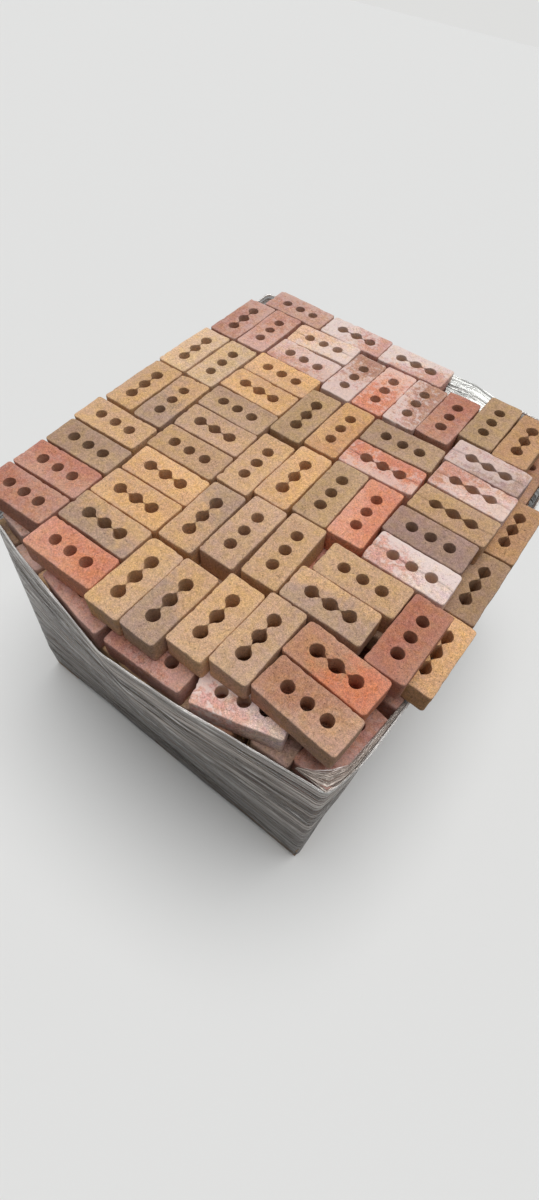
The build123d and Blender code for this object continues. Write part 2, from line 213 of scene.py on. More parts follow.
# Named clays: body, colour of the flashed zones and share of pale bloom
CLAYS = {
    "dusty_red": ((186, 126, 106), (190, 136, 114), 0.10),
    "coral_red": ((212, 138, 108), (218, 152, 124), 0.08),
    "brick_red": ((178, 116, 94), (182, 126, 102), 0.05),
    "terracotta": ((178, 130, 104), (192, 150, 122), 0.06),
    "flame_red": ((210, 128, 92), (190, 140, 110), 0.06),
    "taupe": ((176, 145, 120), (188, 156, 126), 0.04),
    "grey_brown": ((180, 150, 127), (208, 168, 128), 0.05),
    "warm_tan": ((197, 162, 133), (208, 170, 136), 0.06),
    "buff": ((205, 167, 130), (212, 171, 127), 0.06),
    "golden": ((226, 179, 128), (214, 170, 127), 0.08),
    "ochre": ((190, 148, 110), (184, 144, 108), 0.03),
    "tan": ((194, 157, 123), (199, 162, 124), 0.05),
    "orange_tan": ((208, 157, 113), (212, 166, 119), 0.06),
    "pale_tan": ((214, 182, 149), (222, 186, 146), 0.12),
    "peach": ((234, 192, 164), (236, 204, 184), 0.45),
    "rose": ((190, 142, 126), (200, 158, 140), 0.24),
    "rosewood": ((192, 142, 124), (200, 150, 132), 0.20),
    "old_rose": ((172, 120, 106), (184, 132, 116), 0.14),
    "pink_bloom": ((206, 151, 131), (226, 187, 173), 0.42),
    "coral_bloom": ((212, 139, 113), (218, 160, 138), 0.34),
    "brown_bloom": ((184, 138, 117), (216, 172, 158), 0.50),
    "ash_pink": ((188, 158, 150), (212, 176, 166), 0.40),
    "pink_white": ((216, 165, 151), (234, 208, 200), 0.60),
    "umber": ((156, 127, 102), (166, 136, 108), 0.03),
    "mauve": ((158, 128, 114), (168, 136, 120), 0.05),
    "olive": ((180, 149, 115), (188, 155, 121), 0.03),
}
clay_names = list(CLAYS)
clays = [fired_clay(name, *colours) for name, colours in CLAYS.items()]


# Shared mesh code

def grid_quads(rows, columns, closed, flip=False):
    """The quads of a grid of rows by columns, closed round its columns if asked."""
    row = columns * np.arange(rows - 1)[:, None]
    column = np.arange(columns if closed else columns - 1)
    following = (column + 1) % columns
    corners = (row + column, row + following, row + columns + following, row + columns + column)
    quads = np.stack(corners, axis=-1).reshape(-1, 4)
    return quads[:, ::-1] if flip else quads


def welded(points, quads):
    """Which points to keep and the quads on them, with points at one place made one."""
    keys = np.round(points * 1e6).astype(int)
    _, first, place = np.unique(keys, axis=0, return_index=True, return_inverse=True)
    return first, place.reshape(-1)[quads]


def surface(name, points, face_groups):
    """A smooth mesh object from points and faces, each group of which is an array with a face a row."""
    mesh = bpy.data.meshes.new(name)
    faces = [face for group in face_groups for face in group.tolist()]
    mesh.from_pydata(points.tolist(), [], faces)
    mesh.shade_smooth()
    mesh.update()
    piece = bpy.data.objects.new(name, mesh)
    scene.collection.objects.link(piece)
    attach(piece, "root")
    return piece


def laid_at(points, x, y, base, turn):
    """Points about the origin, turned and set down with their middle over x, y."""
    cosine, sine = np.cos(turn), np.sin(turn)
    return np.column_stack([points[:, 0] * cosine - points[:, 1] * sine + x,
                            points[:, 0] * sine + points[:, 1] * cosine + y, points[:, 2] + base])


def drift(points, rng, size, amount):
    """Points moved by a slow random drift: for each axis the sum of six sine waves across space."""
    waves = rng.normal(size=(3, 6, 3)) * (2 * pi / size)
    phases = rng.uniform(0, 2 * pi, (3, 6))
    moves = np.sin(np.einsum("pk,awk->paw", points, waves) + phases).sum(axis=2)
    return points + amount / 6 ** 0.5 * moves


# Bricks

def side_run(start, stop, count, facing):
    """Points evenly from start up to but without stop, with the direction the side faces."""
    share = np.linspace(0, 1, count + 1)[:-1, None]
    points = np.array(start) * (1 - share) + np.array(stop) * share
    return points, np.tile(np.array(facing, float), (count, 1))


def corner_run(centre, radius, start, count):
    """Points on a quarter circle from the angle start, without its last, with their outward directions."""
    angle = start + np.linspace(0, pi / 2, count + 1)[:-1]
    outward = np.column_stack([np.cos(angle), np.sin(angle)])
    return np.array(centre) + radius * outward, outward


def crowded(count, evenness):
    """Values from -1 up to but without 1, each a share of the even value and the rest of its cube."""
    even = np.linspace(-1, 1, count + 1)[:-1]
    return evenness * even + (1 - evenness) * even ** 3


def end_run(half_length, half_width, count, evenness):
    """Points up a brick's end, crowded about its middle, with the direction the end faces."""
    y = half_width * crowded(count, evenness)
    return np.column_stack([np.full(count, half_length), y]), np.tile((1.0, 0.0), (count, 1))


def shared_run(half_width, count, evenness):
    """Points down the line between two cells, spaced by angle about the core and crowded at its middle."""
    reach = np.arctan2(half_width, CELL_HALF)
    y = -CELL_HALF * np.tan(reach * crowded(count, evenness))
    return np.column_stack([np.full(count, CELL_HALF), y]), np.zeros((count, 2))


def core_reach(angle, radius, tips, blunt, narrow):
    """How far a core's wall is from its middle: a circle, with straight lines drawn from a point at each tip.

    Each tip is (direction, reach). The lines leave the tip at a share, narrow, of the angle at which
    they would just touch the circle, and a line square to the tip's direction cuts its point off at
    the distance blunt.
    """
    reach = np.full_like(angle, radius)
    for direction, tip in tips:
        off = np.abs((angle - direction + pi) % (2 * pi) - pi)
        slant = narrow * np.arcsin(radius / tip)
        line = tip * np.sin(slant) / np.sin(np.minimum(off + slant, pi / 2))
        point = np.minimum(line, blunt / np.maximum(np.cos(off), 0.1))
        reach = np.where(off + slant < pi / 2, np.maximum(point, reach), reach)
    return reach


def bottom_arris(plan, facing, radius, turns):
    """Rows over a rounded bottom arris, from the underside out to the side, each a plan and a height."""
    return [(plan + facing * radius * np.sin(turn), radius * (1 - np.cos(turn))) for turn in turns]


def top_arris(plan, facing, radius, turns, height):
    """Rows over a rounded top arris, from the side in to the top, each a plan and a height."""
    return [(plan + facing * radius * np.cos(turn), height - radius * (1 - np.sin(turn))) for turn in turns]


def stacked(rows):
    """The points of rows, each of which is a plan and a height."""
    return np.concatenate([np.column_stack([plan, np.full(len(plan), z)]) for plan, z in rows])


# How finely a brick's mesh is divided: points per long side, end and corner, down a line between
# cells and across the middle cell, and how evenly; rows up a core's wall and out across the top;
# steps of an arris; chips knocked off the top arris
FINE = {"side": 12, "end": 14, "corner": 4, "line": 16, "middle": 8, "even": 0.35,
        "wall": (0.0, 0.4, 0.8), "spread": (0.12, 0.3, 0.6, 1.0), "turns": 4, "chips": 7}
COARSE = {"side": 2, "end": 2, "corner": 2, "line": 6, "middle": 2, "even": 1.0,
          "wall": (0.0,), "spread": (1.0,), "turns": 2, "chips": 0}
# Kinds of core, by the letter in a brick's finish, or none: the circle's radius, how far its point
# would reach towards the next core and outwards from the last one, where the point is cut blunt, and
# how narrow it is
CORES = {"": (0.0164, 0.0, 0.0, 1.0, 1.0), "b": (0.0177, 0.0266, 0.0190, 0.0248, 0.78),
         "d": (0.0164, 0.0264, 0.0205, 0.0248, 1.0)}


def brick_shape(rng, kind, fineness):
    """One brick about its own middle, with its length along X and its base at zero.

    The brick is three cells, each round one core. A cell is one grid: its rows run from the cell's
    edge at the bottom, in to the core's mouth, up the core's wall, over its arris and out across the
    top to the cell's edge, and its columns go round the core. A last grid is the outer band, from the
    bottom edge up the sides and over the rounded arris.
    """
    half_length, half_width = BRICK_LENGTH / 2 - ARRIS, BRICK_WIDTH / 2 - ARRIS
    rounding = PLAN_CORNER - ARRIS
    x_in, y_in = half_length - rounding, half_width - rounding
    side, end, corner, even = (fineness[key] for key in ("side", "end", "corner", "even"))
    outer = [np.concatenate(part) for part in zip(
        side_run((CELL_HALF, -half_width), (x_in, -half_width), side, (0, -1)),
        corner_run((x_in, -y_in), rounding, -pi / 2, corner),
        end_run(half_length, y_in, end, even),
        corner_run((x_in, y_in), rounding, 0, corner),
        side_run((x_in, half_width), (CELL_HALF, half_width), side, (0, 1)),
    )]
    line = shared_run(half_width, fineness["line"], even)
    across = side_run((CELL_HALF, half_width), (-CELL_HALF, half_width), fineness["middle"], (0, 1))
    right = np.concatenate([outer[0], line[0]])
    line_up = np.concatenate([[[CELL_HALF, -half_width]], line[0][:0:-1]])
    middle = np.concatenate([line_up, across[0], -line_up, -across[0]])
    band, facing = [np.concatenate([run, over, -run, -over]) for run, over in zip(outer, across)]

    turns = np.linspace(0, pi / 2, fineness["turns"])
    points, quads, count = [], [], 0
    radius, long_tip, short_tip, blunt, narrow = CORES[kind]
    cells = (
        (-right, -CORE_PITCH, (0.0,), (pi,)),
        (middle, 0.0, (0.0, pi), ()),
        (right, CORE_PITCH, (pi,), (0.0,)),
    )
    for edge, centre, inward, outward in cells:
        core = np.array([centre, 0.0])
        ray = edge - core
        angle = np.arctan2(ray[:, 1], ray[:, 0])
        unit = np.column_stack([np.cos(angle), np.sin(angle)])
        tips = [(way, long_tip * rng.uniform(0.97, 1.02)) for way in inward if long_tip]
        tips += [(way, short_tip) for way in outward if short_tip]
        reach = core_reach(angle, radius * rng.uniform(0.98, 1.02), tips, blunt, narrow)[:, None]
        lip = core + unit * (reach + CORE_LIP)
        rows = [(edge, 0.0)]
        rows += [(core + unit * reach, share * (BRICK_HEIGHT - CORE_LIP)) for share in fineness["wall"]]
        rows += top_arris(lip, -unit, CORE_LIP, turns, BRICK_HEIGHT)
        rows += [(lip * (1 - share) + edge * share, BRICK_HEIGHT) for share in fineness["spread"]]
        points.append(stacked(rows))
        quads.append(grid_quads(len(rows), len(edge), True, flip=True) + count)
        count += len(rows) * len(edge)
    rows = bottom_arris(band, facing, ARRIS, turns)
    rows += [(band + facing * ARRIS, BRICK_HEIGHT * share) for share in (0.25, 0.5, 0.75)]
    rows += top_arris(band, facing, ARRIS, turns, BRICK_HEIGHT)
    points.append(stacked(rows))
    quads.append(grid_quads(len(rows), len(band), True) + count)
    points = np.concatenate(points)
    kept, quads = welded(points, np.concatenate(quads))
    return points[kept], quads


def crease_share(points, phase):
    """How deep in the crease along a brick's middle each point lies.

    It is a bell across the crease, whose middle wanders and whose depth varies along the brick as
    sines of x. There is none on the sides.
    """
    x, y, z = points.T
    wander = 0.0017 * np.sin(x * 48 + phase) + 0.0007 * np.sin(x * 130 + 3 * phase)
    depth = 0.8 + 0.2 * np.sin(x * 75 + 2 * phase)
    return depth * np.exp(-((y - wander) / 0.0024) ** 2) * np.clip((z - BRICK_HEIGHT + 0.004) / 0.004, 0, 1)


def neck_share(points):
    """How near each point is to the thin line that joins a brick's cores: a bell across it, on top only."""
    x, y, z = points.T
    between = np.clip((CORE_PITCH + 0.022 - np.abs(x)) / 0.006, 0, 1)
    return between * np.exp(-(y / 0.0016) ** 2) * (z > BRICK_HEIGHT - 0.001)


def depth_in_plan(points):
    """How far each point of a brick lies in from the nearest of its sides and ends."""
    return np.minimum(BRICK_LENGTH / 2 - np.abs(points[:, 0]), BRICK_WIDTH / 2 - np.abs(points[:, 1]))


def chipped(points, rng, count):
    """Points near a few spots of the top arris moved in and down, most at the spot, fading as the square."""
    x, y, z = points.T
    on_arris = np.flatnonzero((z > BRICK_HEIGHT - ARRIS) & (depth_in_plan(points) < ARRIS))
    spots = points[rng.choice(on_arris, count)] if count else np.zeros((0, 3))
    size, depth = rng.uniform(0.005, 0.011, len(spots)), rng.uniform(0.0006, 0.0022, len(spots))
    off = np.linalg.norm(points[:, None] - spots[None], axis=2)
    push = (depth * np.clip(1 - (off / size) ** 2, 0, 1)).sum(axis=1)
    inward = -np.column_stack([x / BRICK_LENGTH, y / BRICK_WIDTH, np.full(len(x), 0.5)])
    return points + 1.6 * push[:, None] * inward


def block_shape(size, radius, step):
    """A block with rounded arrises about its own middle, its base at zero.

    Rows run from the bottom arris up to the top arris and columns round the plan, with a point about
    every step along its sides. One flat face closes each end.
    """
    half_x, half_y = size[0] / 2 - radius, size[1] / 2 - radius
    long_steps, short_steps = (max(2, int(extent / step)) for extent in size[:2])
    half_round = (
        side_run((-half_x, -half_y), (half_x, -half_y), long_steps, (0, -1)),
        corner_run((half_x, -half_y), 0.0, -pi / 2, 2),
        side_run((half_x, -half_y), (half_x, half_y), short_steps, (1, 0)),
        corner_run((half_x, half_y), 0.0, 0, 2),
    )
    plan, facing = [np.concatenate([*runs, *(-run for run in runs)]) for runs in zip(*half_round)]
    turns = np.linspace(0, pi / 2, 3)
    rows = bottom_arris(plan, facing, radius, turns) + top_arris(plan, facing, radius, turns, size[2])
    ring = np.arange(len(plan))[None, :]
    underside, top = ring[:, ::-1], ring + (len(rows) - 1) * len(plan)
    return stacked(rows), [grid_quads(len(rows), len(plan), True), underside, top]


def fading(distance, reach):
    """One at no distance, falling off exponentially over the reach."""
    return np.exp(-np.maximum(distance, 0) / reach)


def brick_wear_and_painted_light(points, rng, marks="", turn=0.0, painted_crease_shade=0.0):
    """Two colour attributes of a brick's points.

    The first is its tone, the pale dust down its cores' walls, which is partly painted light that lifts the
    shade in the cores, and nearness to the outer arrises. The second is a field that falls across the brick
    and sorts its two clay colours, one that sorts its bloom, and the painted shade of its crease and of the
    thin line between its cores.
    Both fields fall a way of their own, unless a digit in the marks names one way for both, in eighths of a
    turn from
    +X over the load, whatever the brick's own turn.
    """
    x, y, z = points.T
    from_middles = [np.hypot(x - centre, y) for centre in (-CORE_PITCH, 0, CORE_PITCH)]
    from_core = np.min(from_middles, axis=0) - CORE_RADIUS
    from_side = depth_in_plan(points)
    from_top = BRICK_HEIGHT - z
    from_edge = np.hypot(np.maximum(from_side, 0), np.minimum(z, from_top))
    # Partly dust and partly painted light: most a little way down a core, fading deeper
    dust_and_light_down_core = np.clip(from_top / 0.012, 0, 1) * np.clip(1.6 - from_top / 0.03, 0, 1) * (from_side > 0.01)
    ways = rng.uniform(0, 2 * pi, 2)
    for mark in marks:
        if mark.isdigit():
            ways = np.full(2, int(mark) * pi / 4 - turn)
    across, bloom_across = (x / BRICK_LENGTH * np.cos(way) + y / BRICK_WIDTH * np.sin(way) for way in ways)
    zone = 0.5 + 0.7 * across + rng.uniform(-0.12, 0.12)
    bloom_side = 0.5 + bloom_across + 2.0 * fading(from_core, 0.008) * ("w" in marks)
    painted_crease_shade = np.broadcast_to(painted_crease_shade, x.shape)
    tone = np.full(len(x), rng.uniform(-1, 1))
    opaque = np.ones(len(x))
    return (np.column_stack([tone, dust_and_light_down_core, fading(from_edge, 0.004), opaque]),
            np.column_stack([zone, bloom_side, painted_crease_shade, opaque]))


def laid_bricks(node):
    """The middle, base height and turn of each brick of a CAD node, in the order in which they were written.

    Corner points at one place are one, and each takes the lowest number among its triangles' corners
    until nothing changes, so that a solid's points share a number. The turn is the direction in which
    the solid's points spread the most.
    """
    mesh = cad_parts[node].data
    points = np.empty(len(mesh.vertices) * 3)
    mesh.vertices.foreach_get("co", points)
    points = points.reshape(-1, 3)
    corners = np.empty(len(mesh.loops), int)
    mesh.loops.foreach_get("vertex_index", corners)
    places, same = np.unique(np.round(points * 1e5).astype(int), axis=0, return_inverse=True)
    triangles = same.reshape(-1)[corners].reshape(-1, 3)
    places = places / 1e5
    order = np.full(len(places), len(points))
    np.minimum.at(order, same.reshape(-1), np.arange(len(points)))
    while True:
        lowest = order[triangles].min(axis=1)
        spread = order.copy()
        np.minimum.at(spread, triangles, lowest[:, None])
        if (spread == order).all():
            break
        order = spread
    laid = []
    for number in np.unique(order):
        solid = places[order == number]
        middle = (solid[:, :2].min(axis=0) + solid[:, :2].max(axis=0)) / 2
        _, axes = np.linalg.eigh(np.cov((solid[:, :2] - middle).T))
        length = axes[:, 1] if axes[0, 1] + axes[1, 1] > 0 else -axes[:, 1]
        laid.append((middle[0], middle[1], solid[:, 2].min(), np.arctan2(length[1], length[0])))
    return laid


def gathered(name, solids, palette, replaced):
    """One mesh object of solids, each its points, face groups, colour attributes and palette number."""
    points, face_groups, wear_and_light_arrays, marks, numbers, count = [], [], [], [], [], 0
    for solid_points, solid_groups, (wear_and_painted_light, mark), number in solids:
        points.append(solid_points)
        face_groups += [group + count for group in solid_groups]
        wear_and_light_arrays.append(wear_and_painted_light)
        marks.append(mark)
        numbers += [number] * sum(map(len, solid_groups))
        count += len(solid_points)
    piece = surface(name, np.concatenate(points), face_groups)
    for attribute, values in (("wear_and_painted_light", wear_and_light_arrays), ("marks", marks)):
        layer = piece.data.attributes.new(attribute, "FLOAT_COLOR", "POINT")
        layer.data.foreach_set("color", np.concatenate(values).ravel())
    used = sorted(set(numbers))
    for number in used:
        piece.data.materials.append(palette[number])
    piece.data.polygons.foreach_set("material_index", np.searchsorted(used, numbers))
    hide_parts(*replaced)


CREASE_DEPTH, NECK_DEPTH = 0.0026, 0.0012


def brick_solid(rng, place, finish, fineness=FINE):
    """One brick as a solid of a piece.

    Its finish is a clay's name, and after a stroke its marks: b for beaded cores, d for pointed ones,
    c for a crease along its middle, w for bloom about its cores and a digit for where its bloom lies.
    """
    clay, _, marks = finish.partition("/")
    kind = marks[:1] if marks[:1] in CORES else ""
    points, quads = brick_shape(rng, kind, fineness)
    crease = crease_share(points, rng.uniform(0, 2 * pi)) if "c" in marks else np.zeros(len(points))
    neck = neck_share(points) if kind else 0.0
    # The crease and the neck line are pressed in, and the darkening passed here for them is painted shade
    wear_and_painted_light = brick_wear_and_painted_light(points, rng, marks, place[3], np.maximum(0.7 * crease, neck))
    points[:, 2] -= CREASE_DEPTH * crease + NECK_DEPTH * neck
    points = chipped(points, rng, fineness["chips"])
    points = drift(drift(points, rng, 0.25, 0.0008), rng, 0.05, 0.0004)
    return laid_at(points, *place), [quads], wear_and_painted_light, clay_names.index(clay)


top_laid = laid_bricks("top_course_bricks")
far_left, near_spine, far_heart, right_middle = laid_bricks("top_course_corner_bricks")
second_laid = laid_bricks("second_course_edge_bricks")
TOP_NODES = ("top_course_bricks", "top_course_corner_bricks")
# The top course from the left, lane by lane: the finishes of each rank from its near or left end,
# then that of the lane's one brick from the corner bricks, and where that brick lies
LANES = {
    "left_lane_bricks": ("""dusty_red dusty_red taupe buff buff/b grey_brown pale_tan/b
        pale_tan rosewood/b1 rose rosewood/6""", far_left),
    "spine_bricks": ("""grey_brown/b golden/b golden/b tan warm_tan/b taupe/6 golden/b
        golden pink_bloom peach/c pink_white/b4 coral_red""", near_spine),
    "heart_bricks": ("""buff/b grey_brown/b buff/b warm_tan/b grey_brown/b warm_tan tan
        buff golden/b olive coral_red olive/b orange_tan brown_bloom/6 coral_bloom/2
        brown_bloom/5 pink_white/b3 coral_bloom/bc6 taupe dusty_red/6""", far_heart),
    "right_lane_bricks": ("""terracotta flame_red/b grey_brown/b tan brick_red
        pink_white/c tan/dc pink_bloom/dc7 ash_pink/dcw3 olive ochre/b mauve/w""", right_middle),
}
rng = np.random.default_rng(11)
start = 0
for name, (words, corner_place) in LANES.items():
    finishes = words.split()
    stop = start + len(finishes) - 1
    lane = zip([*top_laid[start:stop], corner_place], finishes, strict=True)
    gathered(name, [brick_solid(rng, place, finish) for place, finish in lane], clays, TOP_NODES)
    start = stop

SECOND_ROW = "old_rose old_rose pink_white rose grey_brown golden/d umber/d ochre/d".split()
second_row = [brick_solid(rng, place, finish) for place, finish in zip(second_laid, SECOND_ROW, strict=True)]
gathered("second_course_edge_row", second_row, clays, ("second_course_edge_bricks",))

# The rest of the second course, in columns of crossing bricks with one rank along the right
COMMON = "buff buff grey_brown grey_brown taupe terracotta dusty_red rose".split()
CROSSING_COLUMNS, CROSSING_ROWS, RIGHT_RANK = 4, 10, 4
# How far back the bricks that show reach, under the left two columns, and how far askew a brick lies
EDGE_ROW_BACK, ASKEW = -0.35, 0.01


def second_course_places(rng):
    """Where the hidden bricks of the second course lie, clear of those that show at its edge."""
    low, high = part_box("second_course_core")
    row_step, column_step = BRICK_WIDTH + COURSE_JOINT, BRICK_LENGTH + COURSE_JOINT
    places = []
    for column in range(CROSSING_COLUMNS):
        for row in range(CROSSING_ROWS):
            x = low.x + BRICK_LENGTH / 2 + column * column_step
            y = high.y - BRICK_WIDTH / 2 - row * row_step
            if column >= 2 or y - BRICK_WIDTH / 2 >= EDGE_ROW_BACK:
                places.append((x, y, low.z, rng.uniform(-ASKEW, ASKEW)))
    for row in range(RIGHT_RANK):
        y = high.y - BRICK_LENGTH / 2 - row * column_step
        places.append((high.x - BRICK_WIDTH / 2, y, low.z, pi / 2))
    return places


second_rest = [brick_solid(rng, place, rng.choice(COMMON), COARSE) for place in second_course_places(rng)]
gathered("second_course_rest", second_rest, clays, ("second_course_core",))


# The load's outline and its hidden courses

# Shares of the pallet's half width and half length, and how far the bulge at the rim moves each point
RIM_OUTLINE = np.array([
    (-1.0, -1.0, 0, 0.066), (-0.67, -1.0, 0, 0.011), (-0.04, -1.0, 0, -0.068), (0.35, -1.0, 0, -0.052),
    (1.0, -1.0, -0.012, 0.018), (1.0, -0.85, 0.017, 0), (1.0, -0.55, 0.030, 0), (1.0, 0.25, 0.030, 0),
    (1.0, 1.0, 0.006, 0.012), (-1.0, 1.0, 0, 0.014),
])
RIM_TOP = 0.940
FOOT_PLAN = RIM_OUTLINE[:, :2] * (PALLET_WIDTH / 2, PALLET_LENGTH / 2)


def bulge_share(height):
    """How much of the bulge there is at a height: none up to the deck, then evenly more up to the rim."""
    return np.clip((height - DECK_TOP) / (RIM_TOP - DECK_TOP), 0, 1)


def load_outline(height):
    """The corners of the load's plan at a height."""
    return FOOT_PLAN + bulge_share(height) * RIM_OUTLINE[:, 2:]


def distances(line):
    """How far along a line of corner points each of them is."""
    return np.concatenate([[0], np.cumsum(np.linalg.norm(np.diff(line, axis=0), axis=1))])


def along(line, share):
    """Points at shares of the length of a line of corner points."""
    reach = distances(line)
    return np.column_stack([np.interp(share, reach / reach[-1], column) for column in line.T])


def edge_row(line, count, depth, inset):
    """Places of count bricks side by side behind an edge, their outer faces along it."""
    marks = along(line, np.linspace(0, 1, count + 1))
    steps = np.diff(marks, axis=0)
    turns = np.arctan2(steps[:, 1], steps[:, 0])
    inward = np.column_stack([-np.sin(turns), np.cos(turns)])
    middles = (marks[1:] + marks[:-1]) / 2 + inward * (inset + depth / 2)
    return np.column_stack([middles, turns])


# The third course's bricks that show at the open near corner, by side and place in its row: their
# clays, and where two of them lie
THIRD_COURSE_SEEN = {(0, 9): "old_rose", (0, 8): "mauve", (1, 0): "old_rose", (1, 1): "terracotta"}
THIRD_COURSE_LAID = {(0, 8): (0.4250, -0.5450, radians(92)), (0, 9): (0.5455, -0.5270, radians(82))}


# How far in from the load's outline the hidden courses lie: the open one at their top, and the
# others, every second one of them further in
OPEN_INSET, COURSE_INSET, COURSE_STAGGER = 0.003, 0.006, 0.005
CORNER_JOINT, SIDE_JOINT = 0.006, 0.002
HIDDEN_ARRIS = 0.004


def course_ring(rng, level):
    """The outer bricks of one hidden course, ends outwards along two sides and faces along the others.

    The highest course shows at the open near corner, so its bricks have cores. The others are blocks.
    """
    base = DECK_TOP + level * BRICK_HEIGHT
    corners = load_outline(base)
    cored = level == LOWER_COURSES - 1
    inset = OPEN_INSET if cored else COURSE_INSET + COURSE_STAGGER * (level % 2)
    near, right, far, left = corners[:5], corners[4:9], corners[8:], corners[[9, 0]]
    solids = []
    for number, side in enumerate((near, right, far, left)):
        turned = number % 2 == level % 2
        width, depth = (BRICK_WIDTH, BRICK_LENGTH) if turned else (BRICK_LENGTH, BRICK_WIDTH)
        span = distances(side)[-1]
        trim = inset if turned else BRICK_LENGTH + inset + CORNER_JOINT
        line = along(side, np.linspace(trim / span, 1 - trim / span, 12))
        count = int((span - 2 * trim) // (width + SIDE_JOINT))
        for place, (x, y, turn) in enumerate(edge_row(line, count, depth, inset)):
            lie = turn + pi / 2 if turned else turn
            clay = rng.choice(COMMON)
            if cored:
                clay = THIRD_COURSE_SEEN.get((number, place), clay)
                x, y, lie = THIRD_COURSE_LAID.get((number, place), (x, y, lie))
                solids.append(brick_solid(rng, (x, y, base, lie), clay, COARSE))
                continue
            points, faces = block_shape(BRICK_SIZE, HIDDEN_ARRIS, BRICK_WIDTH / 2)
            wear_and_painted_light = brick_wear_and_painted_light(points, rng)
            points = laid_at(drift(points, rng, 0.2, 0.0008), x, y, base, lie)
            solids.append((points, faces, wear_and_painted_light, clay_names.index(clay)))
    return solids


for level in range(LOWER_COURSES):
    ring = course_ring(rng, level)
    gathered(f"hidden_course_{level + 1}", ring, clays, (f"lower_course_{level + 1}",))


# Stretch wrap

# How far round the rim the corners are, how far their rounding reaches and the rolled edge's radius
rim_corners = load_outline(RIM_TOP)
RIM_MARKS = distances(np.concatenate([rim_corners, rim_corners[:1]]))
CORNER_EASE, ROLL_RADIUS = 0.010, 0.0026
# How far the film climbs for each metre round the load
WRAP_PITCH = 0.05
# The height that the film's patterns count from its foot to its rim, however far the rim dips
PATTERN_HEIGHT = 0.80
# The film's patterns, in features a metre along it and up it
LONG_STREAKS, FINE_STREAKS, GLINTS = (0.5, 50.0, 1.0), (2.2, 130.0, 1.0), (8.0, 95.0, 1.0)
BANDS, SHEEN = (0.6, 11.0, 1.0), (1.3, 24.0, 1.0)
# The white of the film's painted glints, which are painted highlights, and of its rolled rim
PAINTED_GLINT_WHITE, RIM_WHITE = linear(254, 250, 246), linear(240, 237, 234)


def stretch_film(name, thinnest, thickest, dull, pale, streaks_and_glints=1.0):
    """Grey stretch film: pulled streaks along the load, torn into short glints, darker at the foot.

    Its opacity goes from thinnest to thickest with the streaks, and its colour from dull to pale. The last
    argument sets the strength of its fine streaks and of its painted glints, which are painted highlights.
    """
    f = Finish(name)
    uv_map = f.nodes.new("ShaderNodeUVMap")
    uv_map.uv_map = "wrap"
    place = uv_map.outputs["UV"]
    split = f.nodes.new("ShaderNodeSeparateXYZ")
    f.links.new(place, split.inputs["Vector"])
    along_film, height = split.outputs["X"], split.outputs["Y"]
    climbing = f.nodes.new("ShaderNodeCombineXYZ")
    f.set(climbing.inputs["X"], along_film)
    f.set(climbing.inputs["Y"], f.math("ADD", height, f.math("MULTIPLY", along_film, WRAP_PITCH)))
    spiral = climbing.outputs["Vector"]
    long_streaks = f.noise(1.0, 5.0, 0.65, f.stretched(place, LONG_STREAKS), warp=0.1)
    fine_streaks = f.noise(1.0, 3.0, 0.65, f.stretched(place, FINE_STREAKS))
    bands = f.noise(1.0, 3.0, 0.6, f.stretched(spiral, BANDS), warp=0.3)
    glints = f.noise(1.0, 3.0, 0.7, f.stretched(place, GLINTS), warp=0.4)
    sheen = f.noise(1.0, 3.0, 0.6, f.stretched(spiral, SHEEN), warp=0.5)
    streak = f.math("ADD", f.math("MULTIPLY", long_streaks, 0.6), f.math("MULTIPLY", fine_streaks, 0.4))
    colour = f.mix(f.ramp(streak, 0.42, 0.58), dull, pale)
    colour = f.times(colour, f.ramp(bands, 0.38, 0.62, 0.75, 1.1))
    colour = f.times(colour, f.ramp(fine_streaks, 0.38, 0.62, 1 - 0.34 * streaks_and_glints, 1 + 0.30 * streaks_and_glints))
    # Painted highlight: short glints of the film mixed towards white
    painted_glare = f.math("MULTIPLY", f.ramp(glints, 0.49, 0.60), f.ramp(sheen, 0.48, 0.60, 0.0, streaks_and_glints))
    colour = f.mix(painted_glare, colour, PAINTED_GLINT_WHITE)
    # Painted shade: the film darker towards its foot
    colour = f.times(colour, f.ramp(height, 0.0, 0.72, 0.30, 1.0, smooth=False))
    # The rolled rim painted near white: pale bunched film, partly a painted highlight along the roll
    at_rim = f.ramp(height, PATTERN_HEIGHT - 0.005, PATTERN_HEIGHT + 0.003)
    colour = f.mix(at_rim, colour, RIM_WHITE)
    f.give("Base Color", colour)
    f.give("Alpha", f.ramp(streak, 0.36, 0.56, thinnest, thickest))
    f.give("Roughness", f.ramp(fine_streaks, 0.35, 0.65, 0.20, 0.40))
    f.give("Metallic", 0.45)
    relief = f.math("ADD", streak, f.math("MULTIPLY", glints, 0.4))
    f.give("Normal", f.bump(relief, 1.0, 0.007))
    return f.material


layered_film = stretch_film("layered_film", 0.45, 0.96, linear(74, 66, 60), linear(190, 180, 172))
single_film = stretch_film("single_film", 0.25, 0.90, linear(110, 100, 92), linear(200, 189, 180))
# A paler, thicker copy of the film for the film bunched at the far edge: its pale colour is partly painted
# highlight
painted_highlight_film = stretch_film("painted_highlight_film", 0.90, 0.99, linear(84, 81, 78), linear(240, 241, 237), streaks_and_glints=0.3)


# Heights of the film's rim, low about the near corner, and of its foot, which is cut off higher over
# the mouths of the fork pockets
RIM_LOW, RIM_MIDDLE, RIM_HIGH = 0.824, 0.880, 0.938
FOOT, FOOT_OVER_MOUTH = 0.046, 0.124
FILM_GAP = 0.0018


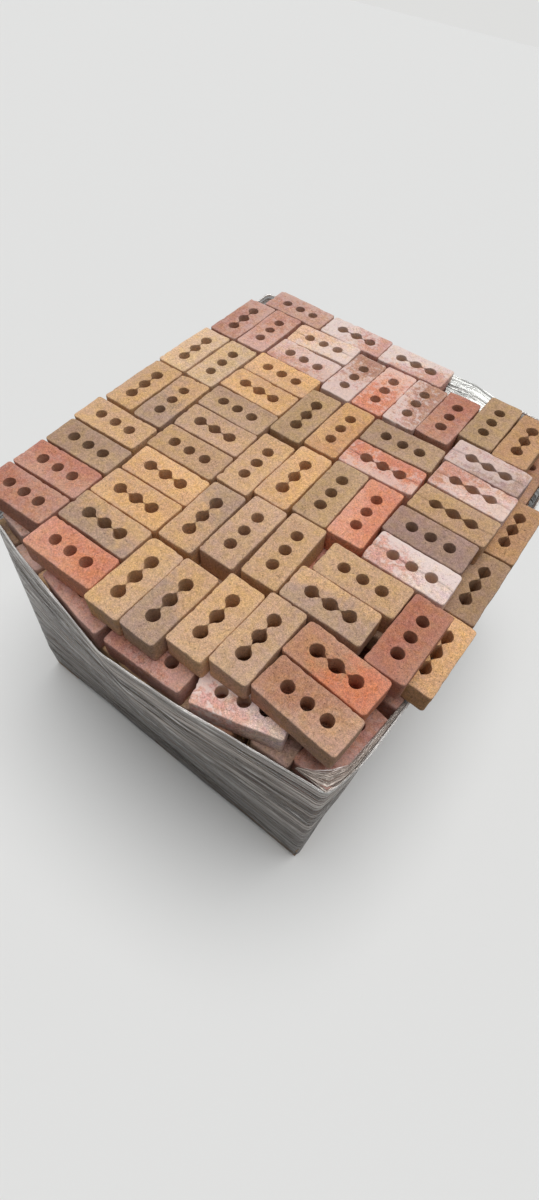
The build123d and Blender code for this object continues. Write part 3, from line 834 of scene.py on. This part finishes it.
def wrap_rim(x, y):
    """How high the film's rim stands at a place on the load's outline: level, with ramps between levels."""
    half_w, half_l = PALLET_WIDTH / 2, PALLET_LENGTH / 2
    near = np.interp(x, [0.20, 0.56], [RIM_MIDDLE, RIM_LOW])
    right = np.interp(y, [0.355, 0.385, 0.555, 0.575], [RIM_LOW, RIM_MIDDLE, RIM_MIDDLE, RIM_HIGH])
    left = np.interp(y, [0.555, 0.585], [RIM_MIDDLE, RIM_HIGH])
    on_near = (y < -half_l + 0.10) & (x < half_w - 0.03)
    on_far = y > half_l - 0.02
    return np.where(on_near, near, np.where(x > 0.3, np.where(on_far, RIM_HIGH, right), left))


def round_the_load(run, values):
    """Corner values carried round the load in straight lines, each the mean of three a short way apart."""
    closed = np.concatenate([values, values[:1]])
    at = (run[:, None] + np.array([-CORNER_EASE, 0, CORNER_EASE])) % RIM_MARKS[-1]
    return np.column_stack([np.interp(at, RIM_MARKS, column).mean(axis=1) for column in closed.T])


# Each family's distance between creases and their depth
PLEAT_FAMILIES = ((0.095, 0.0034), (0.050, 0.0026), (0.027, 0.0017), (0.015, 0.0010), (0.009, 0.0005))


def pleats(run, level, rng):
    """How far the pulled film stands out in creases along the load.

    It is the sum of families of creases, each a folded wave of the height, which climbs or falls and
    wanders along the wall so that the families cross, and swells and fades along it.
    """
    out = np.zeros((level + run).shape)
    for size, depth in PLEAT_FAMILIES:
        phases = rng.uniform(0, 2 * pi, 3)
        wander = sum(np.sin(run * k + phase) / k for k, phase in zip((1.1, 2.7, 6.5), phases))
        climb = run * rng.uniform(-1.3, 1.3) * WRAP_PITCH
        wave = np.abs(np.sin(pi * (level + climb + 0.022 * wander) / size + rng.uniform(0, 2 * pi)))
        slope = run * rng.uniform(1, 3) + level * rng.uniform(6, 14)
        swell = 0.55 + 0.45 * np.sin(slope + rng.uniform(0, 2 * pi))
        out += depth * swell * (1 - wave)
    return out


def film_piece(name, points, run, level, finish):
    """A piece of film on a grid of points, with a UV map of the metres along it and up it."""
    rows, columns = points.shape[:2]
    piece = surface(name, points.reshape(-1, 3), [grid_quads(rows, columns, False)])
    corners = np.empty(len(piece.data.loops), int)
    piece.data.loops.foreach_get("vertex_index", corners)
    uv = np.stack(np.broadcast_arrays(run, level), axis=-1).reshape(-1, 2)
    piece.data.uv_layers.new(name="wrap").data.foreach_set("uv", uv[corners].ravel())
    piece.data.materials.append(finish)
    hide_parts("stretch_wrap")
    return piece


def film():
    """The wrap as one open surface: columns go once round the load and rows from its foot to its rolled rim.

    A point stands on the load's outline at its height, moved outwards by the pleats, which die out at
    the seam and lie flatter towards the rim, and by a hem, which is a bell of the height at the foot.
    Above the rim the rows turn over outwards round a small roll.
    """
    rng = np.random.default_rng(5)
    rows, roll_rows, columns = 290, 7, 250
    corner_marks = RIM_MARKS[[0, 4, 8, 9, 10]]
    beside = np.concatenate([mark + np.array([-0.018, -0.009, 0, 0.009, 0.018]) for mark in corner_marks])
    run = np.union1d(np.linspace(0, RIM_MARKS[-1], columns), beside[(beside > 0) & (beside < RIM_MARKS[-1])])
    rim_plan = round_the_load(run, load_outline(0.9))
    ahead = np.gradient(rim_plan, run, axis=0)
    ahead[0] = ahead[-1] = (ahead[0] + ahead[-1]) / 2
    outward = np.column_stack([ahead[:, 1], -ahead[:, 0]])
    outward /= np.linalg.norm(outward, axis=1)[:, None]
    rim = wrap_rim(*rim_plan.T) + 0.0015 * np.sin(run * 23) + 0.001 * np.sin(run * 61 + 1)
    on_side = np.abs(rim_plan[:, 0]) > PALLET_WIDTH / 2 - 0.02
    in_mouth = on_side & (np.abs(rim_plan[:, 1]) < PALLET_LENGTH / 2 - 0.09)
    foot = np.where(in_mouth, FOOT_OVER_MOUTH, FOOT)

    rise = np.linspace(0, 1, rows)[:, None]
    wall_height = foot + (rim - foot) * rise
    hem = 0.002 * np.exp(-((wall_height - foot) / 0.006) ** 2)
    seam_fade = np.minimum(1, np.minimum(run, RIM_MARKS[-1] - run) / 0.05)
    rim_hug = 1 - 0.7 * np.exp(-((rim - wall_height) / 0.03) ** 2)
    wall_out = FILM_GAP + pleats(run, PATTERN_HEIGHT * rise, rng) * seam_fade * rim_hug + hem
    turn = pi - np.linspace(0, 1.55 * pi, roll_rows + 1)[1:, None]
    radius = ROLL_RADIUS * (1 + 0.3 * np.sin(run * 31) * np.sin(run * 7 + 2))
    roll_height = rim + radius * np.sin(turn)
    roll_out = wall_out[-1] + radius * (1 + np.cos(turn))
    height = np.concatenate([wall_height, roll_height])
    out = np.concatenate([wall_out, roll_out])

    low = round_the_load(run, FOOT_PLAN)
    bulge = round_the_load(run, RIM_OUTLINE[:, 2:])
    plan = low + bulge_share(height)[..., None] * bulge + out[..., None] * outward
    points = np.concatenate([plan, height[..., None]], axis=2)
    roll_level = PATTERN_HEIGHT + 0.006 * np.arange(1, roll_rows + 1)
    level = np.concatenate([PATTERN_HEIGHT * rise[:, 0], roll_level])[:, None]
    piece = film_piece("stretch_wrap_film", points, run, level, layered_film)


# The level in the film's patterns where the turned-in pieces start
TURNED_LEVEL = 0.66


def turned_in_film(name, finish, outer, inner, seed):
    """Film turned in from the rim over the load: a strip between two lines of points.

    Across the strip a point goes straight from the outer line to the inner one. Creases along the
    strip are folded waves of the share across, which wander along it and lift the film.
    """
    rng = np.random.default_rng(seed)
    s, t = np.linspace(0, 1, 90), np.linspace(0, 1, 60)[:, None]
    outer_line, inner_line = lines = [along(np.array(corners), s) for corners in (outer, inner)]
    points = outer_line * (1 - t[..., None]) + inner_line * t[..., None]
    length = max(distances(line)[-1] for line in lines)
    width = np.linalg.norm(inner_line - outer_line, axis=1)
    depth = width.max()
    lift = np.zeros((len(t), len(s)))
    for waves, height in ((3, 0.0035), (7, 0.0020), (13, 0.0010)):
        wander = 0.12 * np.sin(s * rng.uniform(3, 7) + rng.uniform(0, 2 * pi))
        lift += height * (1 - np.abs(np.sin(pi * waves * (t + wander) + rng.uniform(0, 2 * pi))))
    points[..., 2] += lift * np.minimum(1, width / 0.03) * np.sin(pi * np.clip(t, 0.04, 0.96)) ** 0.5
    piece = film_piece(name, points, s * length, TURNED_LEVEL + depth * t, finish)


# Pallet

def sawn_timber(name, stretch):
    """Rough sawn softwood: long grain along one axis, grey weathering and darker sawn edges."""
    f = Finish(name)
    tone, _, near_edge = f.attribute("wear_and_painted_light")
    grain = f.noise(1.0, 6.0, 0.7, f.stretched(f.place, stretch), warp=0.4)
    broad = f.noise(7.0, 3.0, 0.5)
    colour = f.mix(f.ramp(grain, 0.36, 0.64), linear(128, 94, 62), linear(188, 150, 106))
    colour = f.mix(f.ramp(broad, 0.45, 0.65, 0.0, 0.6), colour, linear(142, 126, 108))
    colour = f.mix(f.math("MULTIPLY", near_edge, 0.3), colour, linear(96, 76, 56))
    colour = f.times(colour, f.ramp(tone, -1.0, 1.0, 0.82, 1.1, smooth=False))
    f.give("Base Color", colour)
    f.give("Roughness", 0.85)
    f.give("Normal", f.bump(grain, 0.5, 0.002))
    return f.material


BASE_BOARD_WIDTH, BEARER_WIDTH, DECK_BOARD_WIDTH = 0.120, 0.090, 0.115
SAWN_ARRIS = 0.0022


def timber_row(rng, name, node, count, axis, width, timber):
    """The boards or bearers of a CAD node as sawn timber, spread evenly over the node's box."""
    low, high = (np.array(corner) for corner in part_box(node))
    size = high - low
    size[axis] = width
    solids = []
    for middle_along in np.linspace(low[axis] + width / 2, high[axis] - width / 2, count):
        middle = (low + high) / 2
        middle[axis] = middle_along
        points, faces = block_shape(size, SAWN_ARRIS, 0.06)
        near_edge = fading(np.minimum(points[:, 2], size[2] - points[:, 2]), 0.004)
        tone = np.full(len(points), rng.uniform(-1, 1))
        wear_and_painted_light = np.column_stack([tone, np.zeros(len(points)), near_edge, np.ones(len(points))])
        points = drift(drift(points, rng, 0.5, 0.0010), rng, 0.07, 0.0003)
        points[:, 2] = np.clip(points[:, 2], 0.0, size[2])
        solids.append((laid_at(points, middle[0], middle[1], low[2], 0.0), faces, (wear_and_painted_light, wear_and_painted_light), 0))
    gathered(name, solids, [timber], (node,))


timber_along_y = sawn_timber("sawn_timber_lengthwise", (60.0, 2.5, 90.0))
timber_along_x = sawn_timber("sawn_timber_crosswise", (2.5, 60.0, 90.0))
timber_row(rng, "pallet_base_board_rows", "pallet_base_boards", 3, 0, BASE_BOARD_WIDTH, timber_along_y)
timber_row(rng, "pallet_bearer_rows", "pallet_bearers", 3, 1, BEARER_WIDTH, timber_along_x)
timber_row(rng, "pallet_deck_board_rows", "pallet_deck_boards", 8, 0, DECK_BOARD_WIDTH, timber_along_y)

film()
turned_in_film(
    "near_corner_film", single_film,
    outer=[(0.495, -0.648, 0.828), (0.580, -0.649, 0.827), (0.594, -0.615, 0.827), (0.606, -0.562, 0.827),
           (0.612, -0.460, 0.827), (0.6165, -0.360, 0.827)],
    inner=[(0.498, -0.642, 0.831), (0.533, -0.625, 0.833), (0.562, -0.601, 0.834), (0.586, -0.568, 0.832),
           (0.597, -0.460, 0.830), (0.608, -0.360, 0.829)],
    seed=8,
)
turned_in_film(
    "far_edge_film", painted_highlight_film,
    outer=[(0.160, 0.674, 0.956), (0.250, 0.676, 0.957), (0.350, 0.668, 0.944)],
    inner=[(0.192, 0.566, 0.936), (0.262, 0.560, 0.944), (0.322, 0.566, 0.936)],
    seed=3,
)


# Stage: floor, light and camera

# Colours of the floor and the sky as they are seen, and as they light the load
PALE_FLOOR, DIM_FLOOR = (0.78, 0.78, 0.77, 1.0), (0.16, 0.16, 0.16, 1.0)
PALE_SKY, DIM_SKY = (0.735, 0.735, 0.725, 1.0), (0.13, 0.134, 0.138, 1.0)
FLOOR_HALF = 9.0

floor_paint = Finish("floor_paint")
floor_paint.give("Base Color", floor_paint.shown_to_looks(PALE_FLOOR, DIM_FLOOR))
floor_paint.give("Roughness", 0.9)
floor_corners = FLOOR_HALF * np.array([[-1, -1, 0], [1, -1, 0], [1, 1, 0], [-1, 1, 0]])
floor = surface("floor", floor_corners, [np.array([[0, 1, 2, 3]])])
floor.data.materials.append(floor_paint.material)

world = bpy.data.worlds.new("studio")
scene.world = world
world.use_nodes = True
sky = ShaderTree(world.node_tree)
sky.set(sky.nodes["Background"].inputs["Color"], sky.shown_to_looks(PALE_SKY, DIM_SKY))

# A broad even sky, as under thin cloud: a sun as wide as this many degrees, a little behind the load
sky_lamp = bpy.data.lights.new("sky_lamp", "SUN")
sky_lamp.angle = radians(48)
sky_lamp.energy = 2.6
sky_holder = bpy.data.objects.new("sky_lamp", sky_lamp)
scene.collection.objects.link(sky_holder)
sky_holder.matrix_world = Vector((-0.2, -0.8, -5.4)).to_track_quat("-Z", "Y").to_matrix().to_4x4()

# The camera's lens, turns and place are those fitted to the middles of the top course's cores
camera = bpy.data.cameras.new("camera")
camera.lens = 16.674
camera.sensor_width = 36.0
holder = bpy.data.objects.new("camera", camera)
scene.collection.objects.link(holder)
place = Matrix.Translation((0.6146, -0.9923, 2.0676))
for turn, axis in ((33.077, "Z"), (32.524, "X"), (4.9215, "Z")):
    place @= Matrix.Rotation(radians(turn), 4, axis)
holder.matrix_world = place
scene.camera = holder
scene.view_settings.view_transform = "Standard"
